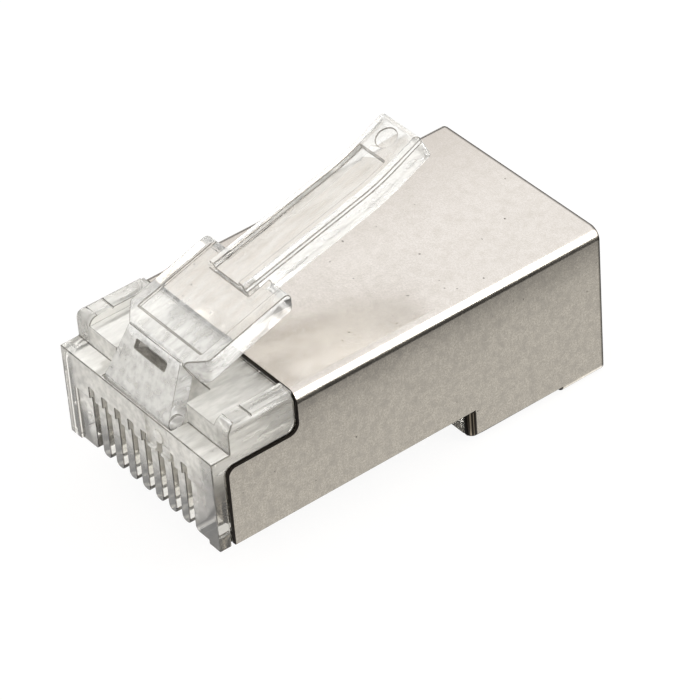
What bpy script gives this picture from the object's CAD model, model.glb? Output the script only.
"""Shielded eight-contact modular plug: clear polycarbonate moulding, folded shield and contacts.

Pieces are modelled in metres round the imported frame. Lengths below are in millimetres and turned to
metres by mm(). X runs across the plug, +Y back to the cable entry, +Z up to the latch.
"""

import math

import bmesh
import bpy
from mathutils import Matrix, Vector
from mathutils.bvhtree import BVHTree
from mathutils.geometry import intersect_line_line_2d


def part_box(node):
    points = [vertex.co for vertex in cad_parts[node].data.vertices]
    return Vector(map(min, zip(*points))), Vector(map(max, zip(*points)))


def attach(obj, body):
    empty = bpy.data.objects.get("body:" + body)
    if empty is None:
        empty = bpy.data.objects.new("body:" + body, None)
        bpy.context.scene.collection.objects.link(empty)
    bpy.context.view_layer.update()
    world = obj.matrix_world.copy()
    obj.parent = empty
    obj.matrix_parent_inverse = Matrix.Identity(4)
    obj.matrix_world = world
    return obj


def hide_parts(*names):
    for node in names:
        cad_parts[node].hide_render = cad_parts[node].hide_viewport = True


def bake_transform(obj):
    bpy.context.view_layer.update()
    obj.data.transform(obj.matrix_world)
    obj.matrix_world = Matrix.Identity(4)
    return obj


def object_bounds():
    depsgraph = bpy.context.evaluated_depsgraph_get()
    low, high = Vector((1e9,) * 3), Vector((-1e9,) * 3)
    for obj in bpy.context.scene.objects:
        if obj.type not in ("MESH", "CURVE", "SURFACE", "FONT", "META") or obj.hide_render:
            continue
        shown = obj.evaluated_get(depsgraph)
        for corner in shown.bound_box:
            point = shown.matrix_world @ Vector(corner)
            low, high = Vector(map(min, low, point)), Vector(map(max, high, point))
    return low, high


MM = 0.001


def mm(*values):
    """Millimetres to metres: one value, or a vector of several."""
    if len(values) == 1:
        return values[0] * MM
    return Vector(values) * MM


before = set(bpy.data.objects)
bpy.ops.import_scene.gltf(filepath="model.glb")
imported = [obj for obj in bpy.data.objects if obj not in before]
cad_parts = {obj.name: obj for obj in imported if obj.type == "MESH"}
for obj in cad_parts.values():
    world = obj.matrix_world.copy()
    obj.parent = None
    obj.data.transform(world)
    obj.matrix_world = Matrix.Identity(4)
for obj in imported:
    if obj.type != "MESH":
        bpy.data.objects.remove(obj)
cad_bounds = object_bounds()
scene = bpy.context.scene
scene.view_settings.view_transform = "Standard"

# Camera, aimed at a point on the plug's middle plane
AIM_POINT = mm(0, 10, 3)
CAMERA_AZIMUTH = 54.70
CAMERA_ELEVATION = 38.65
CAMERA_ROLL = -4.61
CAMERA_DISTANCE = 191.97
CAMERA_SIDESTEP = 1.72
CAMERA_DROP = 0.19
CAMERA_LENS = 213.35
CAMERA_SENSOR = 36
CAMERA_CLIP = (10, 2000)

# Floor, level and just under the plug
FLOOR_REACH = 400
FLOOR_GAP = 0.01
FLOOR_BESIDE = 0.64          # how bright metal shows the floor beside the plug
FLOOR_SLANT = -0.45          # how much further forward the far dark part starts, per length out

# Gate mark on the nose face
GATE_X = 1.60
GATE_Z = 4.15
GATE_REACH = 1.35

# Slot across the latch arm
SLOT_Y = 1.77
SLOT_Z = 7.0
SLOT_HALF = 1.2
SLOT_REACH = 0.45

# Latch's tail, whose borders and tip are frosted
TAIL_Z = 9.2                 # lowest height of the tail
BORDER_HALF = 1.2            # half the width over its two borders
CHANNEL_HALF = 0.92          # half the width of the channel between them
BORDER_FADE = 0.1
LEFT_CLEARNESS = 0.55        # share of clear plastic left in the left border
RIGHT_CLEARNESS = 0.66       # the same in the right border and the tip

# Rounding of the edges, with angles in degrees
MOULDED_EDGE = 0.045
SHEARED_EDGE = 0.07
BLADE_EDGE = 0.03
EDGE_SEGMENTS = 2
EDGE_ROOM = 0.4              # widest rounding, as a share of the shortest edge that meets it
BLUNT_ANGLE = 24             # turn below which an edge isn't rounded
SHARP_ANGLE = 44             # turn from which it is rounded in full
SMOOTH_ANGLE = 32            # turn up to which the shading runs on over an edge
RUN_ON_COSINE = 0.9          # edges nearer than this in direction run on from each other

# Material slots of a rounded piece
FACE_FINISH = 0
EDGE_FINISH = 1

# Copies of the CAD nodes
DOUBLE_POINTS = 0.0005       # gap up to which two corners are one
FLAT_ANGLE = 0.4             # turn up to which two faces are one
SKIN = 0.005                 # depth under a face from which its thickness is measured
SHEET_THICKNESS = 0.25
CUT_DEPTH = 1.5              # sheet thicknesses, below which a face is a broad side of the sheet
FOLD_SIZE = 0.02             # side of the smallest fold in a face that is cut off
SPIKE_ANGLE = 2
TANGLE_PASSES = 6

# Row of contact blades
CONTACT_COUNT = 8
BLADE_SEAM = 0.001           # gap closed between a blade's two sides


def linear(hex_colour):
    """sRGB hex value as linear red, green, blue and a full alpha."""
    channels = [int(hex_colour[start:start + 2], 16) / 255 for start in (1, 3, 5)]
    curve = [c / 12.92 if c <= 0.04045 else ((c + 0.055) / 1.055) ** 2.4 for c in channels]
    return (*curve, 1.0)


def add_node(tree, kind, settings=None, inputs=None):
    """Adds a node with its settings and what goes into its inputs: a value, a socket, or a node,
    which stands for the first of its outputs in use. An input is given by name, or by place where
    names repeat."""
    node = tree.nodes.new(kind)
    for name, setting in (settings or {}).items():
        setattr(node, name, setting)
    for name, source in (inputs or {}).items():
        if isinstance(name, int):
            taker = node.inputs[name]
        else:
            taker = next(socket for socket in node.inputs if socket.enabled and socket.name == name)
        if isinstance(source, bpy.types.Node):
            source = next(socket for socket in source.outputs if socket.enabled)
        if isinstance(source, bpy.types.NodeSocket):
            tree.links.new(source, taker)
        else:
            taker.default_value = source
    return node


def new_material(name):
    """Material with an empty tree."""
    material = bpy.data.materials.new(name)
    material.use_nodes = True
    material.node_tree.nodes.clear()
    return material, material.node_tree


def place_on_plug(tree):
    """Where a point lies: as a vector, and how far across, along and up the plug."""
    position = add_node(tree, "ShaderNodeTexCoord").outputs["Object"]
    parts = add_node(tree, "ShaderNodeSeparateXYZ", {}, {"Vector": position}).outputs
    return position, *parts


def pattern_scale(size_mm):
    """Scale of a noise pattern whose features are about size_mm across."""
    return 1 / mm(size_mm)


def clear_polycarbonate(name, tint, clearness_at_gate, clearness):
    """Clear moulded polycarbonate: glassy in the thin comb and outer walls, elsewhere milky in
    streaks that follow the melt, most of all near the gate, frosted on the borders and tip of the
    latch's tail, and smoky at the comb's end on the gate's side."""
    material, tree = new_material(name)
    position, across, along, height = place_on_plug(tree)
    outward = add_node(tree, "ShaderNodeMath", {"operation": "ABSOLUTE"}, {0: across})
    waves = add_node(tree, "ShaderNodeTexNoise", {},
                     {"Scale": pattern_scale(1.8), "Detail": 1.0, "Vector": position})
    flow = add_node(tree, "ShaderNodeMapping", {}, {"Scale": (1, 0.25, 1), "Vector": position})
    streaks = add_node(tree, "ShaderNodeTexNoise", {},
                       {"Scale": pattern_scale(0.4), "Detail": 3.0, "Vector": flow})

    above_comb = add_node(tree, "ShaderNodeMapRange", {},
                          {"Value": height, "From Min": mm(1.3), "From Max": mm(2.4)})
    behind_comb = add_node(tree, "ShaderNodeMapRange", {},
                           {"Value": along, "From Min": mm(5), "From Max": mm(7)})
    outside_comb = add_node(tree, "ShaderNodeMath", {"operation": "MAXIMUM"},
                            {0: above_comb, 1: behind_comb})
    between_walls = add_node(tree, "ShaderNodeMapRange", {},
                             {"Value": outward, "From Min": mm(4.8), "From Max": mm(5.2),
                              "To Min": 1, "To Max": 0})
    above_walls = add_node(tree, "ShaderNodeMapRange", {},
                           {"Value": height, "From Min": mm(3.8), "From Max": mm(4.6),
                            "To Max": 0.5})
    inside_walls = add_node(tree, "ShaderNodeMath", {"operation": "MAXIMUM"},
                            {0: between_walls, 1: above_walls})
    thick = add_node(tree, "ShaderNodeMath", {"operation": "MULTIPLY"},
                     {0: outside_comb, 1: inside_walls})

    behind_gate = add_node(tree, "ShaderNodeMapRange", {},
                           {"Value": along, "From Min": mm(2.5), "From Max": mm(4.5)})
    usual = add_node(tree, "ShaderNodeMix", {},
                     {"Factor": behind_gate, "A": clearness_at_gate, "B": clearness})
    on_tail = add_node(tree, "ShaderNodeMapRange", {},
                       {"Value": height, "From Min": mm(TAIL_Z), "From Max": mm(9.6)})
    left = add_node(tree, "ShaderNodeMapRange", {},
                    {"Value": across, "From Min": mm(-CHANNEL_HALF - BORDER_FADE),
                     "From Max": mm(-CHANNEL_HALF), "To Min": 1, "To Max": 0})
    left_border = add_node(tree, "ShaderNodeMath", {"operation": "MULTIPLY"}, {0: left, 1: on_tail})
    right = add_node(tree, "ShaderNodeMapRange", {},
                     {"Value": across, "From Min": mm(BORDER_HALF),
                      "From Max": mm(BORDER_HALF + BORDER_FADE)})
    tip = add_node(tree, "ShaderNodeMapRange", {},
                   {"Value": along, "From Min": mm(15.4), "From Max": mm(15.5)})
    right_or_tip = add_node(tree, "ShaderNodeMath", {"operation": "MAXIMUM"}, {0: right, 1: tip})
    other_borders = add_node(tree, "ShaderNodeMath", {"operation": "MULTIPLY"},
                             {0: right_or_tip, 1: on_tail})
    bordered = add_node(tree, "ShaderNodeMix", {},
                        {"Factor": other_borders, "A": usual, "B": RIGHT_CLEARNESS})
    frosted = add_node(tree, "ShaderNodeMix", {},
                       {"Factor": left_border, "A": bordered, "B": LEFT_CLEARNESS})
    streak_share = add_node(tree, "ShaderNodeMapRange", {},
                            {"Value": streaks, "From Min": 0.36, "From Max": 0.64,
                             "To Min": -0.1, "To Max": 0.1})
    milky = add_node(tree, "ShaderNodeMath", {"operation": "ADD"}, {0: frosted, 1: streak_share})

    gate_side = add_node(tree, "ShaderNodeMapRange", {},
                         {"Value": across, "From Min": mm(3.8), "From Max": mm(4.3)})
    below_shoulder = add_node(tree, "ShaderNodeMapRange", {},
                              {"Value": height, "From Min": mm(3.2), "From Max": mm(4.2),
                               "To Min": 1, "To Max": 0})
    smoky = add_node(tree, "ShaderNodeMath", {"operation": "MULTIPLY"},
                     {0: gate_side, 1: below_shoulder})
    colour = add_node(tree, "ShaderNodeMix", {"data_type": "RGBA"},
                      {"Factor": smoky, "A": linear(tint), "B": linear("#C2BEB7")})
    clear_share = add_node(tree, "ShaderNodeMix", {}, {"Factor": thick, "A": 0.9, "B": milky})
    gloss = add_node(tree, "ShaderNodeMapRange", {},
                     {"Value": streaks, "From Min": 0.4, "From Max": 0.7,
                      "To Min": 0.03, "To Max": 0.09})
    ripple = add_node(tree, "ShaderNodeBump", {},
                      {"Strength": 0.08, "Distance": mm(0.06), "Height": waves})
    shader = add_node(tree, "ShaderNodeBsdfPrincipled", {},
                      {"IOR": 1.585, "Base Color": colour, "Transmission Weight": clear_share,
                       "Roughness": gloss, "Normal": ripple})
    add_node(tree, "ShaderNodeOutputMaterial", {}, {"Surface": shader})
    return material


def tin_plated_strip():
    """Tin-plated steel strip, rolled then folded: satin, a little duller to the left and in front
    where it was handled, grainier where the die rubbed its sides, and dark where the plating gave
    way: at the rear burr, along the lower bends and on the two flanges bent in over the step. Its
    grain is drawn coarser than the real one, so that it shows."""
    material, tree = new_material("steel_strip_tin_plated")
    position, across, along, height = place_on_plug(tree)
    outward = add_node(tree, "ShaderNodeMath", {"operation": "ABSOLUTE"}, {0: across})
    grain = add_node(tree, "ShaderNodeTexNoise", {},
                     {"Scale": pattern_scale(0.09), "Roughness": 0.7, "Vector": position})
    mottle = add_node(tree, "ShaderNodeTexNoise", {},
                      {"Scale": pattern_scale(0.45), "Detail": 3.0, "Roughness": 0.6,
                       "Vector": position})
    patches = add_node(tree, "ShaderNodeTexNoise", {},
                       {"Scale": pattern_scale(2.4), "Vector": position})
    speck = add_node(tree, "ShaderNodeTexNoise", {},
                     {"Scale": pattern_scale(0.2), "Detail": 0.0, "Vector": position})
    folds = add_node(tree, "ShaderNodeTexNoise", {},
                     {"Scale": pattern_scale(0.09), "Detail": 0.0, "Vector": along})

    at_left = add_node(tree, "ShaderNodeMapRange", {},
                       {"Value": across, "From Min": mm(-5), "From Max": mm(0),
                        "To Min": 1, "To Max": 0})
    in_front = add_node(tree, "ShaderNodeMapRange", {},
                        {"Value": along, "From Min": mm(7), "From Max": mm(12),
                         "To Min": 0.5, "To Max": 0})
    handled = add_node(tree, "ShaderNodeMath", {"operation": "MAXIMUM"}, {0: at_left, 1: in_front})
    top = add_node(tree, "ShaderNodeMix", {"data_type": "RGBA"},
                   {"Factor": handled, "A": linear("#E8E2DC"), "B": linear("#D6CFC8")})
    on_sides = add_node(tree, "ShaderNodeMapRange", {},
                        {"Value": outward, "From Min": mm(5.5), "From Max": mm(5.8)})
    bare = add_node(tree, "ShaderNodeMix", {"data_type": "RGBA"},
                    {"Factor": on_sides, "A": top, "B": linear("#EAE2D4")})

    rubbed = add_node(tree, "ShaderNodeMapRange", {},
                      {"Value": outward, "From Min": mm(5.5), "From Max": mm(5.8),
                       "To Min": 0.3, "To Max": 0.8})
    pits = add_node(tree, "ShaderNodeMapRange", {},
                    {"Value": grain, "From Min": 0.4, "From Max": 0.62,
                     "To Min": 0.75, "To Max": 0})
    coarse = add_node(tree, "ShaderNodeMath", {"operation": "MULTIPLY"}, {0: pits, 1: rubbed})
    fine = add_node(tree, "ShaderNodeMix", {"data_type": "RGBA"},
                    {"Factor": coarse, "A": bare, "B": linear("#BAB2A5")})
    dull_spots = add_node(tree, "ShaderNodeMapRange", {},
                          {"Value": mottle, "From Min": 0.42, "From Max": 0.7})
    smudges = add_node(tree, "ShaderNodeMath", {"operation": "MULTIPLY"},
                       {0: dull_spots, 1: rubbed})
    tint = add_node(tree, "ShaderNodeMix", {"data_type": "RGBA"},
                    {"Factor": smudges, "A": fine, "B": linear("#C6BFB4")})
    rare_specks = add_node(tree, "ShaderNodeMapRange", {},
                           {"Value": speck, "From Min": 0.868, "From Max": 0.88, "To Max": 0.8})
    specked = add_node(tree, "ShaderNodeMix", {"data_type": "RGBA"},
                       {"Factor": rare_specks, "A": tint, "B": linear("#57514A")})

    lower_bend = add_node(tree, "ShaderNodeMapRange", {},
                          {"Value": height, "From Min": mm(-1.7), "From Max": mm(-1.64),
                           "To Min": 0.8, "To Max": 0})
    outer_side = add_node(tree, "ShaderNodeMapRange", {},
                          {"Value": outward, "From Min": mm(5.3), "From Max": mm(5.45)})
    under_edge = add_node(tree, "ShaderNodeMath", {"operation": "MULTIPLY"},
                          {0: lower_bend, 1: outer_side})
    rear_burr = add_node(tree, "ShaderNodeMapRange", {},
                         {"Value": along, "From Min": mm(22.42), "From Max": mm(22.5),
                          "To Max": 0.75})
    scraped = add_node(tree, "ShaderNodeMath", {"operation": "MAXIMUM"},
                       {0: rear_burr, 1: under_edge})
    worn = add_node(tree, "ShaderNodeMix", {"data_type": "RGBA"},
                    {"Factor": scraped, "A": specked, "B": linear("#3F3A34")})

    before_step = add_node(tree, "ShaderNodeMapRange", {},
                           {"Value": along, "From Min": mm(14.78), "From Max": mm(14.84),
                            "To Min": 1, "To Max": 0})
    below_body = add_node(tree, "ShaderNodeMapRange", {},
                          {"Value": height, "From Min": mm(-0.1), "From Max": mm(0.02),
                           "To Min": 1, "To Max": 0})
    on_step = add_node(tree, "ShaderNodeMath", {"operation": "MULTIPLY"},
                       {0: before_step, 1: below_body})
    between_folds = add_node(tree, "ShaderNodeMapRange", {},
                             {"Value": folds, "From Min": 0.5, "From Max": 0.62})
    stretched = add_node(tree, "ShaderNodeMix", {"data_type": "RGBA"},
                         {"Factor": between_folds, "A": linear("#2E2923"), "B": linear("#8C8171")})
    colour = add_node(tree, "ShaderNodeMix", {"data_type": "RGBA"},
                      {"Factor": on_step, "A": worn, "B": stretched})

    satin = add_node(tree, "ShaderNodeMapRange", {},
                     {"Value": patches, "From Min": 0.3, "From Max": 0.7,
                      "To Min": 0.19, "To Max": 0.27})
    rolled = add_node(tree, "ShaderNodeBump", {},
                      {"Strength": 0.06, "Distance": mm(0.012), "Height": grain})
    shader = add_node(tree, "ShaderNodeBsdfPrincipled", {},
                      {"Metallic": 1.0, "Base Color": colour, "Roughness": satin,
                       "Normal": rolled})
    add_node(tree, "ShaderNodeOutputMaterial", {}, {"Surface": shader})
    return material


def sheared_steel():
    """Sheared edge of the strip: bare steel gone dark, which reads as a black line round it."""
    material, tree = new_material("steel_sheared_edge_oxidised")
    shader = add_node(tree, "ShaderNodeBsdfPrincipled", {},
                      {"Base Color": linear("#2E2A26"), "Metallic": 1.0, "Roughness": 0.45})
    add_node(tree, "ShaderNodeOutputMaterial", {}, {"Surface": shader})
    return material


def plated_bronze():
    """Phosphor bronze blade, stamped: grey with nickel, and gold on the edge that meets a jack."""
    material, tree = new_material("phosphor_bronze_nickel_and_gold_plated")
    position, _, _, height = place_on_plug(tree)
    shade = add_node(tree, "ShaderNodeTexNoise", {},
                     {"Scale": pattern_scale(0.2), "Vector": position})
    nickel = add_node(tree, "ShaderNodeMix", {"data_type": "RGBA"},
                      {"Factor": shade, "A": linear("#837D74"), "B": linear("#A19B91")})
    gold = add_node(tree, "ShaderNodeMapRange", {},
                    {"Value": height, "From Min": mm(0.22), "From Max": mm(0.3),
                     "To Min": 1, "To Max": 0})
    colour = add_node(tree, "ShaderNodeMix", {"data_type": "RGBA"},
                      {"Factor": gold, "A": nickel, "B": linear("#E6C27A")})
    gloss = add_node(tree, "ShaderNodeMapRange", {},
                     {"Value": shade, "From Min": 0.3, "From Max": 0.7,
                      "To Min": 0.2, "To Max": 0.34})
    shader = add_node(tree, "ShaderNodeBsdfPrincipled", {},
                      {"Metallic": 1.0, "Base Color": colour, "Roughness": gloss})
    add_node(tree, "ShaderNodeOutputMaterial", {}, {"Surface": shader})
    return material


def rounding_share(edge, edge_width):
    """Part of the full rounding that an edge takes: none if blunt, less where room is short."""
    if len(edge.link_faces) != 2:
        return 0.0
    turn = math.degrees(edge.calc_face_angle(0))
    if turn < BLUNT_ANGLE:
        return 0.0
    along = (edge.verts[1].co - edge.verts[0].co).normalized()
    room = edge_width / EDGE_ROOM
    for corner in edge.verts:
        for other in corner.link_edges:
            if other is edge or len(other.link_faces) != 2:
                continue
            side = (other.verts[1].co - other.verts[0].co).normalized()
            if abs(side.dot(along)) < RUN_ON_COSINE:
                room = min(room, other.calc_length())
    share = min(1.0, (turn - BLUNT_ANGLE) / (SHARP_ANGLE - BLUNT_ANGLE))
    return share * min(1.0, room * EDGE_ROOM / edge_width)


def merged_copy(node_name, edge_width):
    """Closed copy of a CAD node: doubles merged, flat faces joined, each edge's rounding noted."""
    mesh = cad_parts[node_name].data.copy()
    shell = bmesh.new()
    shell.from_mesh(mesh)
    bmesh.ops.remove_doubles(shell, verts=shell.verts, dist=mm(DOUBLE_POINTS))
    bmesh.ops.dissolve_limit(shell, angle_limit=math.radians(FLAT_ANGLE), verts=shell.verts,
                             edges=shell.edges)
    bmesh.ops.recalc_face_normals(shell, faces=shell.faces)
    weight = shell.edges.layers.float.new("bevel_weight_edge")
    for edge in shell.edges:
        edge[weight] = rounding_share(edge, edge_width)
    shell.to_mesh(mesh)
    shell.free()
    mesh.materials.clear()
    for layer in list(mesh.uv_layers):
        mesh.uv_layers.remove(layer)
    return mesh


def mark_cut_faces(mesh):
    """Gives the edge finish to the sheet's sheared faces: those with more than its thickness behind
    them."""
    surface = BVHTree.FromPolygons([v.co.copy() for v in mesh.vertices],
                                   [tuple(f.vertices) for f in mesh.polygons])
    for face in mesh.polygons:
        start = face.center - face.normal * mm(SKIN)
        _, _, _, depth = surface.ray_cast(start, -face.normal)
        sheared = depth is None or depth > mm(SHEET_THICKNESS * CUT_DEPTH)
        face.material_index = EDGE_FINISH if sheared else FACE_FINISH


def clear_gate_mark(mesh):
    """Gives the gate mark's edges the finish of its faces: cut through at the press, they have no
    radius."""
    for face in mesh.polygons:
        off_gate = face.center - mm(GATE_X, 0, GATE_Z)
        if off_gate.length < mm(GATE_REACH):
            face.material_index = FACE_FINISH


def folded_faces(shell):
    """Faces whose own triangles fold back over them, which a boundary that crosses itself gives."""
    folded = {}
    for corners in shell.calc_loop_triangles():
        first, second, third = (loop.vert.co for loop in corners)
        turn = (second - first).cross(third - first)
        if turn.dot(corners[0].face.normal) < -mm(FOLD_SIZE) ** 2:
            folded[corners[0].face] = True
    return list(folded)


def shortest_tangle(face):
    """The two corners at the ends of the shortest stretch of a face's boundary that crosses
    itself."""
    across = face.normal.orthogonal().normalized()
    upward = face.normal.cross(across)
    corners = list(face.verts)
    points = [Vector((c.co.dot(across), c.co.dot(upward))) for c in corners]
    count = len(corners)
    best = None
    for start in range(count):
        before, after = (points[(start + side) % count] - points[start] for side in (-1, 1))
        if count > 3 and before.angle(after, math.pi) < math.radians(SPIKE_ANGLE):
            return corners[start - 1], corners[(start + 1) % count]
        length = (points[(start + 1) % count] - points[start]).length
        for step in range(2, count - 2):
            ends = [(start + step) % count, (start + step + 1) % count]
            length += (points[ends[0]] - points[ends[0] - 1]).length
            if best and length >= best[0]:
                break
            if intersect_line_line_2d(points[start], points[(start + 1) % count],
                                      points[ends[0]], points[ends[1]]):
                best = (length, corners[start], corners[ends[1]])
                break
    return best and best[1:]


def cut_off_tangles(mesh):
    """Splits faces where roundings cross in a corner, so that the rest of each face stays sound."""
    shell = bmesh.new()
    shell.from_mesh(mesh)
    for _ in range(TANGLE_PASSES):
        for face in folded_faces(shell):
            ends = shortest_tangle(face)
            if ends:
                bmesh.utils.face_split(face, *ends)
    shell.to_mesh(mesh)
    shell.free()


def clear_left_border(mesh):
    """Gives the edges of the tail's left border the finish of its faces: they are worn, so they
    show pale and not as dark lines."""
    for face in mesh.polygons:
        if face.center.x < mm(-BORDER_HALF) and face.center.z > mm(TAIL_Z):
            face.material_index = FACE_FINISH


def dull_arm_slot(mesh):
    """Gives the slot across the latch arm the edge finish: its close walls show just as dark."""
    for face in mesh.polygons:
        across, along, height = face.center - mm(0, SLOT_Y, SLOT_Z)
        if abs(across) < mm(SLOT_HALF) and math.hypot(along, height) < mm(SLOT_REACH):
            face.material_index = EDGE_FINISH


def plain_mesh(piece, name):
    """The piece with its modifiers applied, as a new object that has none."""
    evaluated = piece.evaluated_get(bpy.context.evaluated_depsgraph_get())
    mesh = bpy.data.meshes.new_from_object(evaluated)
    bpy.data.objects.remove(piece)
    mesh.name = name
    finished = bpy.data.objects.new(name, mesh)
    scene.collection.objects.link(finished)
    return finished


def shaded_piece(piece, name):
    """The piece smooth-shaded, with the largest faces leading the shading at their corners."""
    piece.data.shade_smooth()
    piece.data.set_sharp_from_angle(angle=math.radians(SMOOTH_ANGLE))
    shading = piece.modifiers.new("shading", "WEIGHTED_NORMAL")
    shading.keep_sharp = True
    return plain_mesh(piece, name)


def rounded_piece(node_name, name, edge_mm, material, edge_material, sheared=False):
    """Finished piece for a CAD node, its edges rounded as moulding or shearing leaves them."""
    mesh = merged_copy(node_name, mm(edge_mm))
    mesh.materials.append(material)
    mesh.materials.append(edge_material)
    if sheared:
        mark_cut_faces(mesh)
    surface = BVHTree.FromPolygons([v.co.copy() for v in mesh.vertices],
                                   [tuple(f.vertices) for f in mesh.polygons])
    piece = bpy.data.objects.new(name + "_rough", mesh)
    scene.collection.objects.link(piece)
    bevel = piece.modifiers.new("edges", "BEVEL")
    bevel.width = mm(edge_mm)
    bevel.segments = EDGE_SEGMENTS
    bevel.limit_method = "WEIGHT"
    bevel.use_clamp_overlap = False
    bevel.miter_outer = "MITER_ARC"
    bevel.material = EDGE_FINISH
    rounded = plain_mesh(piece, name + "_rounded")
    low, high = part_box(node_name)
    for vertex in rounded.data.vertices:
        nearest, _, _, distance = surface.find_nearest(vertex.co)
        if distance > mm(edge_mm) / 2:
            vertex.co = nearest
        vertex.co = [min(max(c, a), b) for c, a, b in zip(vertex.co, low, high)]
    cut_off_tangles(rounded.data)
    return shaded_piece(rounded, name)


def blade_outline():
    """Flat outline of one contact blade, standing on the plug's middle plane and facing +X."""
    shell = bmesh.new()
    shell.from_mesh(merged_copy("contact_1", mm(BLADE_EDGE)))
    inner = min(shell.faces, key=lambda face: face.normal.x)
    corners = [corner.co.copy() for corner in reversed(inner.verts)]
    shell.free()
    mesh = bpy.data.meshes.new("blade_outline")
    mesh.from_pydata([(0, c.y, c.z) for c in corners], [], [range(len(corners))])
    return mesh


def contact_row_tree():
    """Node tree that thickens the blade outline, repeats it along the row and adds its metal."""
    tree = bpy.data.node_groups.new("contact_row", "GeometryNodeTree")
    sockets = {}
    for name, kind in (("Outline", "NodeSocketGeometry"), ("Thickness", "NodeSocketFloat"),
                       ("Pitch", "NodeSocketFloat"), ("Count", "NodeSocketInt"),
                       ("Metal", "NodeSocketMaterial")):
        sockets[name] = tree.interface.new_socket(name, in_out="INPUT", socket_type=kind).identifier
    tree.interface.new_socket("Row", in_out="OUTPUT", socket_type="NodeSocketGeometry")
    given = add_node(tree, "NodeGroupInput").outputs
    depth = add_node(tree, "ShaderNodeCombineXYZ", {}, {"X": given["Thickness"]})
    front = add_node(tree, "GeometryNodeExtrudeMesh", {},
                     {"Mesh": given["Outline"], "Offset": depth, "Individual": False})
    back = add_node(tree, "GeometryNodeFlipFaces", {}, {"Mesh": given["Outline"]})
    both = add_node(tree, "GeometryNodeJoinGeometry", {}, {"Geometry": front})
    tree.links.new(back.outputs[0], both.inputs[0])
    blade = add_node(tree, "GeometryNodeMergeByDistance", {},
                     {"Geometry": both, "Distance": mm(BLADE_SEAM)})
    steps = add_node(tree, "ShaderNodeMath", {"operation": "SUBTRACT"}, {0: given["Count"], 1: 1})
    span = add_node(tree, "ShaderNodeMath", {"operation": "MULTIPLY_ADD"},
                    {0: steps, 1: given["Pitch"], 2: given["Thickness"]})
    first = add_node(tree, "ShaderNodeMath", {"operation": "MULTIPLY"}, {0: span, 1: -0.5})
    start = add_node(tree, "ShaderNodeCombineXYZ", {}, {"X": first})
    step = add_node(tree, "ShaderNodeCombineXYZ", {}, {"X": given["Pitch"]})
    line = add_node(tree, "GeometryNodeMeshLine", {},
                    {"Count": given["Count"], "Start Location": start, "Offset": step})
    blades = add_node(tree, "GeometryNodeInstanceOnPoints", {}, {"Points": line, "Instance": blade})
    solid = add_node(tree, "GeometryNodeRealizeInstances", {}, {"Geometry": blades})
    plated = add_node(tree, "GeometryNodeSetMaterial", {},
                      {"Geometry": solid, "Material": given["Metal"]})
    add_node(tree, "NodeGroupOutput", {}, {"Row": plated})
    return tree, sockets


def contact_row(metal):
    """The eight blades in their slots, edges eased as a coining die leaves them."""
    tree, sockets = contact_row_tree()
    piece = bpy.data.objects.new("contact_row_rough", blade_outline())
    scene.collection.objects.link(piece)
    row = piece.modifiers.new("row", "NODES")
    row.node_group = tree
    low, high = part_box("contact_1")
    next_low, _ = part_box("contact_2")
    for name, value in (("Thickness", high[0] - low[0]), ("Pitch", next_low[0] - low[0]),
                        ("Count", CONTACT_COUNT), ("Metal", metal)):
        row[sockets[name]] = value
    bevel = piece.modifiers.new("edges", "BEVEL")
    bevel.width = mm(BLADE_EDGE)
    bevel.segments = EDGE_SEGMENTS
    bevel.limit_method = "ANGLE"
    bevel.angle_limit = math.radians(SHARP_ANGLE)
    return shaded_piece(plain_mesh(piece, "contact_row_rounded"), "contact_blades")


def view_axes():
    """Camera's right, up and back directions."""
    azimuth, elevation, roll = (math.radians(a) for a in (CAMERA_AZIMUTH, CAMERA_ELEVATION,
                                                          CAMERA_ROLL))
    back = Vector((math.sin(azimuth) * math.cos(elevation),
                   -math.cos(azimuth) * math.cos(elevation), math.sin(elevation)))
    level = Vector((math.cos(azimuth), math.sin(azimuth), 0))
    upright = back.cross(level)
    right = level * math.cos(roll) + upright * math.sin(roll)
    up = upright * math.cos(roll) - level * math.sin(roll)
    return right, up, back


def place_camera():
    right, up, back = view_axes()
    data = bpy.data.cameras.new("camera")
    data.lens = CAMERA_LENS
    data.sensor_width = CAMERA_SENSOR
    data.clip_start, data.clip_end = (mm(distance) for distance in CAMERA_CLIP)
    camera = bpy.data.objects.new("camera", data)
    scene.collection.objects.link(camera)
    offset = right * mm(CAMERA_SIDESTEP) - up * mm(CAMERA_DROP) + back * mm(CAMERA_DISTANCE)
    turn = Matrix((right, up, back)).transposed().to_4x4()
    camera.matrix_world = Matrix.Translation(AIM_POINT + offset) @ turn
    scene.camera = camera


def by_ray(tree, camera, glossy, transmission, other):
    """Value that depends on what looks: the camera, metal, clear plastic, or the rest."""
    path = add_node(tree, "ShaderNodeLightPath")
    value = other
    for name, wanted in (("Is Glossy Ray", glossy), ("Is Transmission Ray", transmission),
                         ("Is Camera Ray", camera)):
        value = add_node(tree, "ShaderNodeMix", {},
                         {"Factor": path.outputs[name], "A": value, "B": wanted})
    return value


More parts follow.
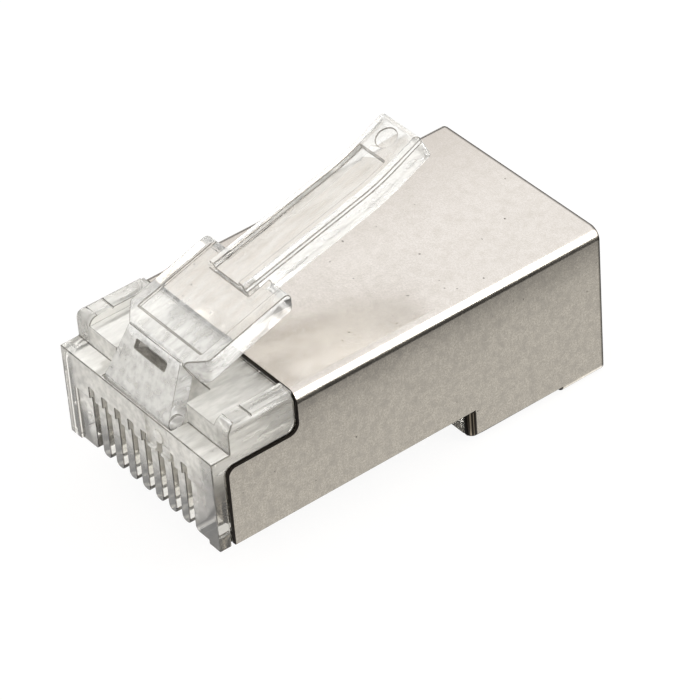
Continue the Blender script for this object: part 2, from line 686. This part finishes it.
def floor_in_metal(tree):
    """Brightness of the floor as metal reflects it: bright in front of the plug and along its lower
    edges, dim at its sides, dark below it and far out to its right and rear."""
    _, across, along, _ = place_on_plug(tree)
    half_width = cad_bounds[1][0]
    outward = add_node(tree, "ShaderNodeMath", {"operation": "ABSOLUTE"}, {0: across})
    side = add_node(tree, "ShaderNodeMath", {"operation": "SUBTRACT"}, {0: outward, 1: half_width})
    far_right = add_node(tree, "ShaderNodeMapRange", {},
                         {"Value": across, "From Min": half_width + mm(7.5),
                          "From Max": half_width + mm(8.3), "To Min": FLOOR_BESIDE, "To Max": 0.05})
    slanted = add_node(tree, "ShaderNodeMath", {"operation": "MULTIPLY_ADD"},
                       {0: side, 1: FLOOR_SLANT, 2: along})
    behind = add_node(tree, "ShaderNodeMapRange", {},
                      {"Value": slanted, "From Min": mm(-4), "From Max": mm(0.5)})
    beside = add_node(tree, "ShaderNodeMix", {},
                      {"Factor": behind, "A": FLOOR_BESIDE, "B": far_right})
    open_to_light = add_node(tree, "ShaderNodeMapRange", {},
                             {"Value": side, "From Min": mm(-0.3), "From Max": mm(-0.12),
                              "To Min": 0.12})
    rim = add_node(tree, "ShaderNodeMapRange", {},
                   {"Value": side, "From Min": mm(0.02), "From Max": mm(0.3),
                    "To Min": 0.8, "To Max": 0})
    glow = add_node(tree, "ShaderNodeMath", {"operation": "MULTIPLY"}, {0: rim, 1: open_to_light})
    around = add_node(tree, "ShaderNodeMath", {"operation": "MULTIPLY_ADD"},
                      {0: beside, 1: open_to_light, 2: glow})
    in_front = add_node(tree, "ShaderNodeMapRange", {},
                        {"Value": along, "From Min": 0, "From Max": mm(-0.6)})
    return add_node(tree, "ShaderNodeMix", {}, {"Factor": in_front, "A": around, "B": 1.0})


def white_floor():
    """Level plane just under the plug, white where it is seen, with a soft shadow."""
    reach = mm(FLOOR_REACH)
    level = cad_bounds[0][2] - mm(FLOOR_GAP)
    mesh = bpy.data.meshes.new("floor")
    points = [(x, y, level) for x, y in ((-reach, -reach), (reach, -reach), (reach, reach),
                                         (-reach, reach))]
    mesh.from_pydata(points, [], [range(len(points))])
    material, tree = new_material("floor_white_card")
    lit = add_node(tree, "ShaderNodeBsdfDiffuse", {}, {"Color": linear("#BDB8B1")})
    strength = by_ray(tree, camera=1.14, glossy=floor_in_metal(tree), transmission=1.15, other=0.0)
    white = add_node(tree, "ShaderNodeEmission", {},
                     {"Color": linear("#FFFFFF"), "Strength": strength})
    share = by_ray(tree, camera=0.8, glossy=1.0, transmission=0.85, other=0.0)
    mixed = add_node(tree, "ShaderNodeMixShader", {}, {0: share, 1: lit, 2: white})
    add_node(tree, "ShaderNodeOutputMaterial", {}, {"Surface": mixed})
    mesh.materials.append(material)
    floor = bpy.data.objects.new("floor", mesh)
    scene.collection.objects.link(floor)


def studio_world():
    """Pale room, dark at the rear horizon, so that metal and clear plastic have contrast."""
    world = bpy.data.worlds.new("studio")
    world.use_nodes = True
    tree = world.node_tree
    tree.nodes.clear()
    direction = add_node(tree, "ShaderNodeTexCoord").outputs["Generated"]
    _, along, height = add_node(tree, "ShaderNodeSeparateXYZ", {}, {"Vector": direction}).outputs
    rearward = add_node(tree, "ShaderNodeMapRange", {},
                        {"Value": along, "From Min": 0.2, "From Max": 0.35})
    pale_horizon = add_node(tree, "ShaderNodeMapRange", {},
                            {"Value": height, "From Min": 0.0, "From Max": 0.36,
                             "To Min": 0.6, "To Max": 1.1})
    dark_horizon = add_node(tree, "ShaderNodeMapRange", {},
                            {"Value": height, "From Min": 0.2, "From Max": 0.36,
                             "To Min": 0.05, "To Max": 1.1})
    in_metal = add_node(tree, "ShaderNodeMix", {},
                        {"Factor": rearward, "A": pale_horizon, "B": dark_horizon})
    in_plastic = add_node(tree, "ShaderNodeMapRange", {},
                          {"Value": height, "From Min": 0.0, "From Max": 0.3,
                           "To Min": 0.5, "To Max": 1.5})
    as_light = add_node(tree, "ShaderNodeMapRange", {},
                        {"Value": height, "From Min": 0.1, "From Max": 0.5,
                         "To Min": 0.8, "To Max": 1.08})
    strength = by_ray(tree, camera=1.0, glossy=in_metal, transmission=in_plastic, other=as_light)
    room = add_node(tree, "ShaderNodeBackground", {},
                    {"Color": linear("#FFFFFF"), "Strength": strength})
    add_node(tree, "ShaderNodeOutputWorld", {}, {"Surface": room})
    scene.world = world


def softbox(name, direction, distance_mm, size_mm, watts):
    """Rectangular area lamp in a direction from the plug, facing it."""
    data = bpy.data.lights.new(name, "AREA")
    data.shape = "RECTANGLE"
    data.size, data.size_y = (mm(s) for s in size_mm)
    data.energy = watts
    lamp = bpy.data.objects.new(name, data)
    scene.collection.objects.link(lamp)
    away = Vector(direction).normalized()
    lamp.matrix_world = (Matrix.Translation(AIM_POINT + away * mm(distance_mm))
                         @ away.to_track_quat("Z", "Y").to_matrix().to_4x4())


# The latch is clear, the housing milkier, and the small radii grey, because they bend light away
CLEAR = clear_polycarbonate("polycarbonate_clear_moulded", "#FEFDFA", 0.66, 0.86)
CLOUDY = clear_polycarbonate("polycarbonate_milky_near_the_gate", "#FEFCF6", 0.48, 0.68)
RADIUS = clear_polycarbonate("polycarbonate_moulded_radius", "#8C877F", 0.9, 0.9)
STRIP = tin_plated_strip()
CUT_EDGE = sheared_steel()
BRONZE = plated_bronze()

housing = rounded_piece("housing", "housing_moulding", MOULDED_EDGE, CLOUDY, RADIUS)
clear_gate_mark(housing.data)
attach(housing, "plug")
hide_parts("housing")

latch = rounded_piece("latch", "latch_moulding", MOULDED_EDGE, CLEAR, RADIUS)
dull_arm_slot(latch.data)
clear_left_border(latch.data)
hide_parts("latch")
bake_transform(latch)

shield = rounded_piece("shield", "shield_sheet", SHEARED_EDGE, STRIP, CUT_EDGE, sheared=True)
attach(shield, "plug")
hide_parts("shield")

contacts = contact_row(BRONZE)
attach(contacts, "plug")
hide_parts(*(f"contact_{number}" for number in range(1, CONTACT_COUNT + 1)))

place_camera()
white_floor()
studio_world()
softbox("rear_right", (0.80, 0.56, 0.55), distance_mm=220, size_mm=(80, 200), watts=0.24)
softbox("front_left", (-0.6, -0.8, 0.5), distance_mm=260, size_mm=(160, 160), watts=0.10)
